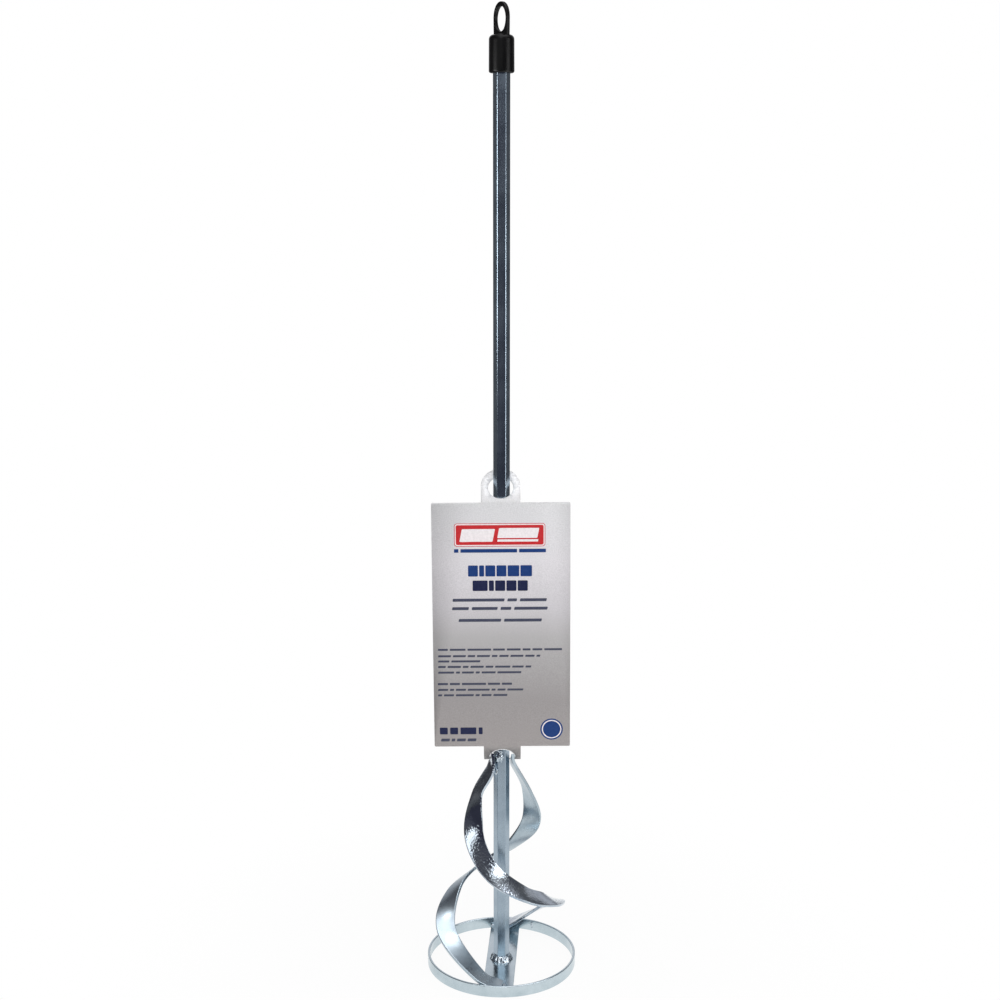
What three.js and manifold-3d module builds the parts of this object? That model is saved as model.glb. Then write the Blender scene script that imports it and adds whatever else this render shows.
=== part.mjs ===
// Ribbon mixing paddle for mortar and joint compound: a hexagonal drill shaft, two flat steel
// strips wound down round it onto a steel hoop, a moulded hang cap on its top end and a card
// threaded on it. Millimetres, +Z up. The origin is the centre of the hoop's underside, and
// the front, where the card faces, is -Y.

import * as THREE from 'three';
import { mergeVertices } from 'three/addons/utils/BufferGeometryUtils.js';
import Module from 'manifold-3d';

const wasm = await Module();
wasm.setup();

const degree = Math.PI / 180;
const quarterTurn = Math.PI / 2;
const halfTurn = Math.PI;
const fullTurn = 2 * Math.PI;

// Fits and cuts
const gap = 0.3;
const cutOverrun = 5;

// Cross bar: flat bar across the hoop, from front to back
const barWidth = 20.4;
const barThickness = 2;
const barTurn = 3.4 * degree;
const barEndSteps = 12;

// Base hoop: flat band with eased edges
const hoopDiameter = 101.6;
const hoopHeight = 7.9;
const hoopThickness = 1.6;
const hoopEdge = 0.4;
const hoopSegments = 96;

// Shaft: three-eighths inch hexagonal bar, standing on the cross bar
const shaftFlats = 9.525;
const shaftLength = 607.6;
const shaftChamfer = 0.8;
const shankLength = 60;
const hexSides = 6;

// Ribbons: two flat strips, half a turn apart
const ribbonWidth = 13;
const ribbonThickness = 2;
const ribbonEdge = 0.35;
const ribbonRise = 152;
const ribbonTurn = 270 * degree;
const ribbonTwist = 90 * degree;
const ribbonSteps = 72;
const ribbonFootLiftShare = 0.8;

// Stations down each ribbon's centre line. Each row gives the share of the turn made so far, the
// share of the way out from the shaft to the hoop, the share of the rise that is left, and the
// strip's twist as a share of a right angle: at 1 its face lies flat against the shaft, at 0 it
// lies level like a screw's thread. The two strips are bent by hand, so they differ a little.
const leftRibbonShares = [
  [0, 0, 1, 0.95],
  [0.065, 0.03, 0.905, 1],
  [0.062, 0.305, 0.782, 0.84],
  [0.16, 0.5, 0.613, 0.41],
  [0.285, 0.485, 0.469, 0.475],
  [0.478, 0.573, 0.362, 0.425],
  [0.62, 0.78, 0.296, 0.34],
  [0.77, 0.97, 0.205, 0.1],
  [0.915, 0.98, 0.072, 0],
  [1, 1, 0, 0],
];
const rightRibbonShares = [
  [0, 0, 1, 0.95],
  [0.07, 0.03, 0.925, 0.99],
  [0.075, 0.34, 0.777, 0.91],
  [0.1, 0.445, 0.62, 0.43],
  [0.277, 0.44, 0.468, 0.35],
  [0.44, 0.6, 0.377, 0.45],
  [0.627, 0.735, 0.306, 0.41],
  [0.77, 0.99, 0.187, 0.11],
  [0.918, 0.98, 0.041, 0],
  [1, 1, 0, 0],
];

// Card: one thin sheet with a punched tab bent back above and below
const cardWidth = 90.2;
const cardHeight = 165.9;
const cardThickness = 0.6;
const cardBottom = 159.5;
const cardSetForward = 7.4;
const cardCorner = 0.8;
const cardLean = 0.37 * degree;
const cardTopTab = { width: 25.6, length: 25.3, cornerShare: 0.5, bend: 42 * degree };
const cardBottomTab = { width: 24.6, length: 24, cornerShare: 0.08, bend: 50 * degree };
const tabHoleDiameter = 16.5;
const tabHoleSetback = 2.7;
const tabHoleSegments = 40;
const tabCornerSteps = 10;

// Hang cap: a round moulding with a hexagonal socket and an upright loop
const capDiameter = 15.9;
const capGrip = 15.8;
const capRoof = 6.7;
const capShoulder = { width: 3, height: 2.8 };
const capShoulderSteps = 5;
const capBottomChamfer = 1.3;
const capDraft = 0.1;
const capSegments = 48;
const loopWidth = 14;
const loopHeight = 19.5;
const loopStraight = 10.2;
const loopThickness = 2.75;
const loopTurn = 54 * degree;
const loopHoleWidth = 11.2;
const loopHoleHeight = 15;
const loopHoleCentre = 9.3;
const loopRoot = 3;
const loopSteps = 16;

// Welds
const footWeldRadius = 8;
const footWeldHeight = 4.4;
const footWeldShoulderShare = 0.55;
const footWeldSegments = 32;
const frontTack = { width: 5.6, length: 9, proud: 2.1, aside: 1.3, level: 151.5 };
const frontStitch = { width: 2.6, length: 4.6, proud: 1.3, aside: 3.3, level: 140.5 };
const backTack = { width: 5.6, length: 8.4, proud: 2.1, aside: 1.6, level: 141.5 };
const ribbonFootWeldWidth = 3;
const ribbonFootWeldHeight = 1.8;
const barEndWeldLeg = 2.2;
const barEndWeldSteps = 6;
const seamWeldWidth = 2.2;
const seamWeldProud = 0.5;
const seamWeldBearing = 63.5 * degree;
const beadSegments = 16;
const beadRings = 10;

// Sizes that follow from those above
const hoopInnerRadius = hoopDiameter / 2 - hoopThickness;
const shaftCornerRadius = cornerRadius(shaftFlats);
const shaftTop = barThickness + shaftLength;
const ribbonTopReach = shaftCornerRadius + gap + ribbonThickness / 2;
const ribbonFootReach = hoopInnerRadius - gap - ribbonWidth / 2;
const ribbonFootLevel = barThickness + gap + ribbonThickness * ribbonFootLiftShare;
const capBottom = shaftTop - capGrip;
const capTop = shaftTop + gap + capRoof;

function cornerRadius(flats) {
  return flats / 2 / Math.cos(halfTurn / hexSides);
}

// Solids and meshes

function solidOf(geometry) {
  const bare = geometry.clone();
  bare.deleteAttribute('normal');
  if (bare.hasAttribute('uv')) bare.deleteAttribute('uv');
  const merged = mergeVertices(bare);
  return new wasm.Manifold(new wasm.Mesh({
    numProp: 3,
    vertProperties: new Float32Array(merged.getAttribute('position').array),
    triVerts: new Uint32Array(merged.getIndex().array),
  }));
}

function geometryOf(solid) {
  const mesh = solid.getMesh();
  const geometry = new THREE.BufferGeometry();
  geometry.setAttribute('position', new THREE.BufferAttribute(new Float32Array(mesh.vertProperties), 3));
  geometry.setIndex(new THREE.BufferAttribute(new Uint32Array(mesh.triVerts), 1));
  geometry.computeVertexNormals();
  return geometry;
}

// A profile of [radius, height] pairs turned round the Z axis.
function turned(profile, segments, startAngle = 0) {
  const points = profile.map(([radius, height]) => new THREE.Vector2(radius, height));
  return new THREE.LatheGeometry(points, segments, startAngle).rotateX(quarterTurn);
}

// A hexagonal prism with a flat facing -Y. Extra levels divide its faces along their length.
function hexPrism(flats, bottom, top, chamfer, levels = []) {
  const radius = cornerRadius(flats);
  const profile = [[0, bottom], [radius, bottom]];
  levels.forEach((level) => profile.push([radius, level]));
  profile.push([radius, top - chamfer], [radius - chamfer, top], [0, top]);
  return turned(profile, hexSides, quarterTurn / 3);
}

function slab(shape, depth) {
  return new THREE.ExtrudeGeometry(shape, { depth, bevelEnabled: false, curveSegments: loopSteps });
}

// A rounded lump of weld metal, its sizes given across X, Y and Z.
function lump(width, depth, height) {
  const sphere = new THREE.SphereGeometry(1, beadSegments, beadRings);
  return sphere.scale(width / 2, depth / 2, height / 2);
}

// Steel frame

function shaftGeometry() {
  const shankLevel = capBottom - shankLength;
  const shankEnd = capBottom - gap;
  return hexPrism(shaftFlats, barThickness, shaftTop, shaftChamfer, [shankLevel, shankEnd]);
}

// Room for the shaft inside a piece that meets it.
function shaftRoom() {
  return solidOf(hexPrism(shaftFlats + 2 * gap, -cutOverrun, shaftTop + gap, 0));
}

function hoopGeometry() {
  const outer = hoopDiameter / 2;
  const inner = hoopInnerRadius;
  return turned([
    [inner, hoopEdge],
    [inner + hoopEdge, 0],
    [outer - hoopEdge, 0],
    [outer, hoopEdge],
    [outer, hoopHeight - hoopEdge],
    [outer - hoopEdge, hoopHeight],
    [inner + hoopEdge, hoopHeight],
    [inner, hoopHeight - hoopEdge],
    [inner, hoopEdge],
  ], hoopSegments);
}

// The bar's plan: straight sides, and ends curved to lie just inside the hoop.
function crossBarGeometry() {
  const reach = hoopInnerRadius - gap;
  const sweep = Math.asin(barWidth / 2 / reach);
  const outline = [quarterTurn, -quarterTurn].flatMap((middle) => {
    const steps = Array.from({ length: barEndSteps + 1 }, (_, i) => (2 * i / barEndSteps - 1) * sweep);
    return steps.map((angle) => new THREE.Vector2(
      reach * Math.cos(middle + angle),
      reach * Math.sin(middle + angle),
    ));
  });
  return slab(new THREE.Shape(outline), barThickness).rotateZ(-barTurn);
}

// Ribbons

function ribbonStation([turnShare, reachShare, riseShare]) {
  const angle = turnShare * ribbonTurn;
  const reach = ribbonTopReach + reachShare * (ribbonFootReach - ribbonTopReach);
  return new THREE.Vector3(
    reach * Math.cos(angle),
    reach * Math.sin(angle),
    ribbonFootLevel + riseShare * ribbonRise,
  );
}

// The strip's section, an oblong with eased edges: across its width, then through its thickness.
function ribbonSection(grow) {
  const across = ribbonWidth / 2 + grow;
  const through = ribbonThickness / 2 + grow;
  const edge = ribbonEdge;
  return [
    [across, edge - through], [across, through - edge],
    [across - edge, through], [edge - across, through],
    [-across, through - edge], [-across, edge - through],
    [edge - across, -through], [across - edge, -through],
  ];
}

// One ribbon, starting beside the shaft's +X corner. Grown, it cuts room for itself in a weld.
function ribbonSolid(shares, grow = 0) {
  const centres = shares.map(ribbonStation);
  const twists = shares.map((row) => new THREE.Vector3(row[3], 0, 0));
  const centreLine = new THREE.CatmullRomCurve3(centres, false, 'catmullrom');
  const twistLine = new THREE.CatmullRomCurve3(twists, false, 'catmullrom');
  const section = ribbonSection(grow);
  const corners = section.length;
  const positions = [];
  for (let step = 0; step <= ribbonSteps; step += 1) {
    const along = step / ribbonSteps;
    const centre = centreLine.getPoint(along);
    const forward = centreLine.getTangent(along);
    if (step === 0) centre.addScaledVector(forward, -grow);
    if (step === ribbonSteps) centre.addScaledVector(forward, grow);
    const outward = new THREE.Vector3(centre.x, centre.y, 0).normalize();
    outward.addScaledVector(forward, -outward.dot(forward)).normalize();
    const sideways = new THREE.Vector3().crossVectors(forward, outward);
    const twist = twistLine.getPoint(along).x * ribbonTwist;
    const acrossStrip = outward.multiplyScalar(Math.cos(twist)).addScaledVector(sideways, Math.sin(twist));
    const throughStrip = new THREE.Vector3().crossVectors(forward, acrossStrip);
    section.forEach(([across, through]) => {
      const corner = centre.clone().addScaledVector(acrossStrip, across).addScaledVector(throughStrip, through);
      positions.push(corner.x, corner.y, corner.z);
    });
  }
  const faces = [];
  for (let step = 0; step < ribbonSteps; step += 1) {
    for (let corner = 0; corner < corners; corner += 1) {
      const here = step * corners + corner;
      const beside = step * corners + (corner + 1) % corners;
      faces.push(here, beside, here + corners, beside, beside + corners, here + corners);
    }
  }
  const last = ribbonSteps * corners;
  for (let corner = 1; corner < corners - 1; corner += 1) {
    faces.push(0, corner + 1, corner);
    faces.push(last, last + corner, last + corner + 1);
  }
  const geometry = new THREE.BufferGeometry();
  geometry.setAttribute('position', new THREE.Float32BufferAttribute(positions, 3));
  geometry.setIndex(faces);
  geometry.computeVertexNormals();
  return solidOf(geometry);
}

// The space above the card's lower tab and just below it, which the ribbons' ends stay out of.
function lowerTabRoom() {
  const reach = hoopDiameter;
  const block = new THREE.BoxGeometry(reach, reach, reach);
  block.translate(0, 0, reach / 2 - cardThickness / 2 - gap);
  block.rotateX(cardBottomTab.bend - quarterTurn);
  block.translate(0, -cardSetForward, cardBottom);
  return solidOf(block);
}

function ribbonGeometry(turn, shares) {
  const strip = ribbonSolid(shares).rotate([0, 0, turn / degree]);
  return geometryOf(strip.subtract(lowerTabRoom()));
}

// Card

// A tab's outline in its own plane, with Y running out from the bend.
function tabShape(tab) {
  const half = tab.width / 2;
  const corner = tab.width * tab.cornerShare;
  const shape = new THREE.Shape();
  shape.moveTo(-half, 0);
  shape.lineTo(half, 0);
  shape.lineTo(half, tab.length - corner);
  shape.absarc(half - corner, tab.length - corner, corner, 0, quarterTurn, false);
  shape.absarc(corner - half, tab.length - corner, corner, quarterTurn, halfTurn, false);
  shape.lineTo(-half, 0);
  return shape;
}

function tabSolid(tab, up) {
  const plate = new THREE.ExtrudeGeometry(tabShape(tab), {
    depth: cardThickness,
    bevelEnabled: false,
    curveSegments: tabCornerSteps,
  });
  plate.translate(0, 0, -cardThickness / 2);
  const hole = new THREE.CylinderGeometry(tabHoleDiameter / 2, tabHoleDiameter / 2, cutOverrun, tabHoleSegments);
  hole.rotateX(quarterTurn);
  hole.translate(0, tabHoleSetback + tabHoleDiameter / 2, 0);
  const fold = new THREE.CylinderGeometry(cardThickness / 2, cardThickness / 2, tab.width, beadSegments);
  fold.rotateZ(quarterTurn);
  const flat = solidOf(plate).subtract(solidOf(hole)).add(solidOf(fold));
  const lean = (up ? quarterTurn - tab.bend : tab.bend - quarterTurn) / degree;
  return flat.rotate([lean, 0, 0]);
}

function cardGeometry() {
  const half = cardWidth / 2;
  const corner = cardCorner;
  const panelShape = new THREE.Shape();
  panelShape.moveTo(corner - half, 0);
  panelShape.lineTo(half - corner, 0);
  panelShape.absarc(half - corner, corner, corner, -quarterTurn, 0, false);
  panelShape.absarc(half - corner, cardHeight - corner, corner, 0, quarterTurn, false);
  panelShape.absarc(corner - half, cardHeight - corner, corner, quarterTurn, halfTurn, false);
  panelShape.absarc(corner - half, corner, corner, halfTurn, halfTurn + quarterTurn, false);
  const panel = new THREE.ExtrudeGeometry(panelShape, {
    depth: cardThickness,
    bevelEnabled: false,
    curveSegments: tabCornerSteps / 2,
  });
  panel.translate(0, 0, -cardThickness / 2).rotateX(quarterTurn);
  const topTab = tabSolid(cardTopTab, true).translate([0, 0, cardHeight]);
  const bottomTab = tabSolid(cardBottomTab, false);
  const sheet = solidOf(panel).add(topTab).add(bottomTab);
  const middle = cardHeight / 2;
  const leaned = sheet.translate([0, 0, -middle]).rotate([0, -cardLean / degree, 0]);
  return geometryOf(leaned.translate([0, -cardSetForward, cardBottom + middle]));
}

// Hang cap

function loopSolid() {
  const half = loopWidth / 2;
  const shape = new THREE.Shape();
  shape.moveTo(-half, -loopRoot);
  shape.lineTo(half, -loopRoot);
  shape.lineTo(half, loopStraight);
  shape.absellipse(0, loopStraight, half, loopHeight - loopStraight, 0, halfTurn, false);
  const hole = new THREE.Path();
  hole.absellipse(0, loopHoleCentre, loopHoleWidth / 2, loopHoleHeight / 2, 0, fullTurn, true);
  shape.holes.push(hole);
  const plate = slab(shape, loopThickness);
  plate.translate(0, 0, -loopThickness / 2).rotateX(quarterTurn).rotateZ(-loopTurn);
  return solidOf(plate.translate(0, 0, capTop));
}

function capGeometry() {
  const radius = capDiameter / 2;
  const profile = [
    [0, capBottom],
    [radius - capBottomChamfer, capBottom],
    [radius, capBottom + capBottomChamfer],
  ];
  for (let step = 0; step <= capShoulderSteps; step += 1) {
    const angle = quarterTurn * step / capShoulderSteps;
    profile.push([
      radius - capDraft - capShoulder.width * (1 - Math.cos(angle)),
      capTop - capShoulder.height * (1 - Math.sin(angle)),
    ]);
  }
  profile.push([0, capTop]);
  const body = turned(profile, capSegments);
  return geometryOf(solidOf(body).add(loopSolid()).subtract(shaftRoom()));
}

// Welds

// The fillet round the shaft's foot, standing on the cross bar.
function footWeldGeometry() {
  const top = barThickness + footWeldHeight;
  const shoulder = barThickness + footWeldHeight * footWeldShoulderShare;
  const middle = (footWeldRadius + shaftCornerRadius) / 2;
  const cone = turned([
    [0, barThickness],
    [footWeldRadius, barThickness],
    [middle, shoulder],
    [shaftCornerRadius + gap, top],
    [0, top],
  ], footWeldSegments);
  return geometryOf(solidOf(cone).subtract(shaftRoom()));
}

// A bead on one of the shaft's flats, between the flat and the edge of a ribbon. It is made
// beside the shaft's +X corner, where a ribbon starts, and turned with that ribbon.
function shaftBeadGeometry(turn, shares, bead) {
  const metal = lump(bead.width, 2 * bead.proud, bead.length);
  metal.translate(bead.aside, shaftFlats / 2 + gap / 2, bead.level);
  const cut = solidOf(metal).subtract(shaftRoom()).subtract(ribbonSolid(shares, gap));
  return geometryOf(cut.rotate([0, 0, turn / degree]).subtract(lowerTabRoom()));
}

// The bead that holds a ribbon's end down on the cross bar.
function ribbonFootWeldGeometry(turn, shares) {
  const bead = lump(ribbonWidth, ribbonFootWeldWidth, 2 * ribbonFootWeldHeight);
  bead.rotateZ(ribbonTurn).translate(0, 0, barThickness);
  const along = new THREE.Vector3(ribbonFootReach, 0, 0).applyAxisAngle(new THREE.Vector3(0, 0, 1), ribbonTurn);
  bead.translate(along.x + ribbonFootWeldWidth / 2, along.y, 0);
  const below = new THREE.BoxGeometry(hoopDiameter, hoopDiameter, cutOverrun);
  below.translate(0, 0, barThickness - cutOverrun / 2);
  const cut = solidOf(bead).subtract(solidOf(below)).subtract(ribbonSolid(shares, gap));
  return geometryOf(cut.rotate([0, 0, turn / degree]));
}

// The fillet between the end of the cross bar and the inside of the hoop, on the side of the
// bar that the ribbon's foot leaves free.
function barEndWeldGeometry(turn) {
  const reach = hoopInnerRadius - gap;
  const sweep = Math.asin(barWidth / 2 / reach);
  const start = -quarterTurn - barTurn + Math.asin((barWidth / 2 + ribbonFootWeldWidth) / reach) / 2;
  const end = -quarterTurn - barTurn + sweep;
  const section = [
    [reach - barEndWeldLeg, barThickness],
    [reach, barThickness],
    [reach, barThickness + barEndWeldLeg],
  ];
  const positions = [];
  for (let step = 0; step <= barEndWeldSteps; step += 1) {
    const angle = start + (end - start) * step / barEndWeldSteps;
    section.forEach(([radius, level]) => {
      positions.push(radius * Math.cos(angle), radius * Math.sin(angle), level);
    });
  }
  const faces = [];
  const corners = section.length;
  for (let step = 0; step < barEndWeldSteps; step += 1) {
    for (let corner = 0; corner < corners; corner += 1) {
      const here = step * corners + corner;
      const beside = step * corners + (corner + 1) % corners;
      faces.push(here, here + corners, beside, beside, here + corners, beside + corners);
    }
  }
  const last = barEndWeldSteps * corners;
  faces.push(0, 1, 2, last, last + 2, last + 1);
  const geometry = new THREE.BufferGeometry();
  geometry.setAttribute('position', new THREE.Float32BufferAttribute(positions, 3));
  geometry.setIndex(faces);
  geometry.computeVertexNormals();
  return geometry.rotateZ(turn);
}

// The bead inside the hoop where the ends of its band meet.
function seamWeldGeometry() {
  const bead = lump(2 * seamWeldProud, seamWeldWidth, hoopHeight - 2 * hoopEdge);
  bead.translate(hoopInnerRadius, 0, hoopHeight / 2);
  const band = turned([
    [hoopInnerRadius - gap / 2, -cutOverrun],
    [hoopDiameter, -cutOverrun],
    [hoopDiameter, hoopHeight + cutOverrun],
    [hoopInnerRadius - gap / 2, hoopHeight + cutOverrun],
    [hoopInnerRadius - gap / 2, -cutOverrun],
  ], hoopSegments);
  const cut = solidOf(bead.rotateZ(seamWeldBearing)).subtract(solidOf(band));
  return geometryOf(cut);
}

// Assembly

const steel = new THREE.MeshStandardMaterial({ color: 0xaab4bb, roughness: 0.3, metalness: 1 });
const brightSteel = new THREE.MeshStandardMaterial({ color: 0xc4c9cf, roughness: 0.18, metalness: 1 });
const weldMetal = new THREE.MeshStandardMaterial({ color: 0xb9bfc4, roughness: 0.35, metalness: 1 });
const blackPlastic = new THREE.MeshStandardMaterial({ color: 0x1c1c1e, roughness: 0.5, metalness: 0 });
const cardSheet = new THREE.MeshStandardMaterial({ color: 0xc4c2c3, roughness: 0.45, metalness: 0 });

function piece(name, geometry, material) {
  const mesh = new THREE.Mesh(geometry, material);
  mesh.name = name;
  return mesh;
}

const mixer = new THREE.Group();
mixer.add(piece('shaft', shaftGeometry(), steel));
mixer.add(piece('base_hoop', hoopGeometry(), steel));
mixer.add(piece('cross_bar', crossBarGeometry(), steel));
mixer.add(piece('shaft_foot_weld', footWeldGeometry(), weldMetal));
mixer.add(piece('hoop_seam_weld', seamWeldGeometry(), weldMetal));

mixer.add(piece('left_ribbon', ribbonGeometry(halfTurn, leftRibbonShares), brightSteel));
mixer.add(piece('right_ribbon', ribbonGeometry(0, rightRibbonShares), brightSteel));
mixer.add(piece('left_ribbon_top_weld', shaftBeadGeometry(halfTurn, leftRibbonShares, frontTack), weldMetal));
mixer.add(piece('left_ribbon_side_weld', shaftBeadGeometry(halfTurn, leftRibbonShares, frontStitch), weldMetal));
mixer.add(piece('right_ribbon_top_weld', shaftBeadGeometry(0, rightRibbonShares, backTack), weldMetal));
mixer.add(piece('left_ribbon_foot_weld', ribbonFootWeldGeometry(halfTurn, leftRibbonShares), weldMetal));
mixer.add(piece('right_ribbon_foot_weld', ribbonFootWeldGeometry(0, rightRibbonShares), weldMetal));
mixer.add(piece('front_bar_weld', barEndWeldGeometry(0), weldMetal));
mixer.add(piece('back_bar_weld', barEndWeldGeometry(halfTurn), weldMetal));
mixer.add(piece('hang_cap', capGeometry(), blackPlastic));
mixer.add(piece('card', cardGeometry(), cardSheet));

export default mixer;
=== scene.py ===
"""Looks of the ribbon mixing paddle: plated steel, a moulded hang cap and a printed hang card."""

import math
from collections import namedtuple
from contextlib import contextmanager

import bmesh
import bpy
from mathutils import Matrix, Vector, noise

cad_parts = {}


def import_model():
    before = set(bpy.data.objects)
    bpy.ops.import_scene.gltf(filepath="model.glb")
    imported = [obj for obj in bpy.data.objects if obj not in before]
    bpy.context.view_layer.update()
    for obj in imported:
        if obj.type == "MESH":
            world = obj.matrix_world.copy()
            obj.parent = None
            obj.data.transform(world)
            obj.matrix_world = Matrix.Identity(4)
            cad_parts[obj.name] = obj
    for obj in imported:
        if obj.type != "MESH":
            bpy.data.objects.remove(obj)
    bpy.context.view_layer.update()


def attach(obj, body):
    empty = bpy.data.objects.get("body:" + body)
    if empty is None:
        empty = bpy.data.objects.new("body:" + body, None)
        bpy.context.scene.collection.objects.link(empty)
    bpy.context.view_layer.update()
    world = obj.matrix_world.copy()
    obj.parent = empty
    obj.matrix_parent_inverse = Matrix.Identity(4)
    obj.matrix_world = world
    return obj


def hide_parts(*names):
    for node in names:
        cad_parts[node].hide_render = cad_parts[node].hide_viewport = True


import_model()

MM = 0.001
DEGREE = math.pi / 180
QUARTER = math.pi / 2
TURN = 2 * math.pi

# Sizes that the solids share, in millimetres

GAP = 0.3
BAR_WIDTH = 20.4
BAR_THICKNESS = 2.0
BAR_TURN = 3.4 * DEGREE
HOOP_DIAMETER = 101.6
HOOP_HEIGHT = 7.9
HOOP_THICKNESS = 1.6
HOOP_INNER = HOOP_DIAMETER / 2 - HOOP_THICKNESS
SHAFT_FLATS = 9.525
SHAFT_CORNER = SHAFT_FLATS / 2 / math.cos(math.pi / 6)
SHAFT_TOP = 609.6
RIBBON_WIDTH = 13.0
RIBBON_THICKNESS = 2.0
RIBBON_RISE = 152.0
RIBBON_TURN = 270 * DEGREE
RIBBON_TWIST = 90 * DEGREE
CARD_WIDTH = 90.2
CARD_HEIGHT = 165.9
CARD_THICKNESS = 0.6
CARD_BOTTOM = 159.5
CARD_FORWARD = 7.4
CARD_LEAN = 0.37 * DEGREE
CAP_BOTTOM = 593.8
CAP_TOP = 616.6

# A ribbon's course from its top to its foot. Each row holds shares of its turn, reach, rise and twist.
LEFT_RIBBON_SHARES = (
    (0, 0, 1, 0.95),
    (0.065, 0.03, 0.905, 1),
    (0.062, 0.305, 0.782, 0.84),
    (0.16, 0.5, 0.613, 0.41),
    (0.285, 0.485, 0.469, 0.475),
    (0.478, 0.573, 0.362, 0.425),
    (0.62, 0.78, 0.296, 0.34),
    (0.77, 0.97, 0.205, 0.1),
    (0.915, 0.98, 0.072, 0),
    (1, 1, 0, 0),
)
RIGHT_RIBBON_SHARES = (
    (0, 0, 1, 0.95),
    (0.07, 0.03, 0.925, 0.99),
    (0.075, 0.34, 0.777, 0.91),
    (0.1, 0.445, 0.62, 0.43),
    (0.277, 0.44, 0.468, 0.35),
    (0.44, 0.6, 0.377, 0.45),
    (0.627, 0.735, 0.306, 0.41),
    (0.77, 0.99, 0.187, 0.11),
    (0.918, 0.98, 0.041, 0),
    (1, 1, 0, 0),
)

# Materials. A noise's scale is in waves for each metre and a bump's distance in metres. Most values of a
# noise lie within NOISE_WIDE, many within NOISE_NARROW, and those of two added noises within TWO_NOISES.

NOISE_WIDE = (0.3, 0.7)
NOISE_NARROW = (0.35, 0.65)
TWO_NOISES = (0.6, 1.4)

# How far the pale spots of an ink and the clouds of bare plastic stray from their own colour
INK_PALER = 1.12
INK_LIFT = 0.004
PLASTIC_DARKER = 6
PLASTIC_PALER = 4

# Screen tones of the printed face at shares of the card's height, with painted shade: darker towards the
# bottom and darkest on the lower tab. The tabs lie below 0 and above 1.
TONE_SPAN_SHARES = (-0.1, 1.06)
CARD_TONE_AND_SHADE_SHARES = (
    (-0.1, (130, 127, 127)),
    (-0.01, (154, 150, 149)),
    (0.0, (161, 156, 155)),
    (0.2, (158, 154, 154)),
    (0.46, (182, 180, 181)),
    (0.58, (206, 203, 207)),
    (0.77, (223, 220, 224)),
    (1.0, (218, 218, 220)),
    (1.016, (222, 221, 223)),
    (1.036, (247, 247, 249)),
)


class Nodes:
    """A material's node tree, with short calls to add, set and link nodes."""

    def __init__(self, name):
        self.material = bpy.data.materials.new(name)
        self.material.use_nodes = True
        self.tree = self.material.node_tree
        self.shader = self.tree.nodes["Principled BSDF"]
        self.out = self.tree.nodes["Material Output"]
        self.place = self.add("ShaderNodeTexCoord").outputs["Object"]

    def add(self, kind, **settings):
        node = self.tree.nodes.new(kind)
        for key, value in settings.items():
            setattr(node, key, value)
        return node

    def give(self, socket, value):
        """Sets a socket to a number or a colour, or links it to another node's result."""
        if isinstance(value, bpy.types.NodeSocket):
            self.tree.links.new(value, socket)
        else:
            socket.default_value = value

    def set(self, **values):
        """Gives values to the shader's inputs, whose names have _ for each space."""
        for key, value in values.items():
            self.give(self.shader.inputs[key.replace("_", " ")], value)

    def noise(self, scale, detail=2.0, roughness=0.5, stretch=None):
        place = self.place
        if stretch:
            mapping = self.add("ShaderNodeMapping")
            self.give(mapping.inputs["Scale"], stretch)
            self.give(mapping.inputs["Vector"], place)
            place = mapping.outputs["Vector"]
        node = self.add("ShaderNodeTexNoise")
        given = {"Vector": place, "Scale": scale, "Detail": detail, "Roughness": roughness}
        for key, value in given.items():
            self.give(node.inputs[key], value)
        return node.outputs["Fac"]

    def ramp(self, value, stops):
        """The colour at a value of 0 to 1, between stops of (position, colour)."""
        node = self.add("ShaderNodeValToRGB")
        elements = node.color_ramp.elements
        while len(elements) < len(stops):
            elements.new(0.5)
        for element, (position, colour) in zip(elements, stops):
            element.position = position
            element.color = colour
        self.give(node.inputs["Fac"], value)
        return node.outputs["Color"]

    def span(self, value, source, target=(0, 1)):
        """The value carried over from one range to another and held within it."""
        node = self.add("ShaderNodeMapRange")
        for key, number in zip(("From Min", "From Max", "To Min", "To Max"), (*source, *target)):
            self.give(node.inputs[key], number)
        self.give(node.inputs["Value"], value)
        return node.outputs["Result"]

    def maths(self, operation, a, b):
        node = self.add("ShaderNodeMath", operation=operation)
        self.give(node.inputs[0], a)
        self.give(node.inputs[1], b)
        return node.outputs[0]

    def vectors(self, operation, values, result):
        node = self.add("ShaderNodeVectorMath", operation=operation)
        for socket, value in zip(node.inputs, values):
            self.give(socket, value)
        return node.outputs[result]

    def mix(self, factor, a, b, blend="MIX"):
        """Two colours mixed. The node takes them at its sockets 6 and 7 and gives a colour at socket 2."""
        node = self.add("ShaderNodeMix", data_type="RGBA", blend_type=blend)
        for index, value in ((0, factor), (6, a), (7, b)):
            self.give(node.inputs[index], value)
        return node.outputs[2]

    def height(self):
        """Each point's height above the object's origin."""
        node = self.add("ShaderNodeSeparateXYZ")
        self.give(node.inputs["Vector"], self.place)
        return node.outputs["Z"]

    def bump(self, *layers):
        """Adds layers of bumps, each a (value, strength, distance)."""
        normal = None
        for value, strength, distance in layers:
            node = self.add("ShaderNodeBump")
            for key, given in (("Strength", strength), ("Distance", distance), ("Height", value)):
                self.give(node.inputs[key], given)
            if normal is not None:
                self.give(node.inputs["Normal"], normal)
            normal = node.outputs["Normal"]
        self.set(Normal=normal)


def linear(tone):
    """The linear value of a screen tone of 0 to 1."""
    return tone / 12.92 if tone <= 0.04045 else ((tone + 0.055) / 1.055) ** 2.4


def rgb(red, green, blue):
    """A linear colour from screen tones of 0 to 255."""
    return tuple(linear(tone / 255) for tone in (red, green, blue)) + (1.0,)


def grey(tone):
    return rgb(tone, tone, tone)


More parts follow.
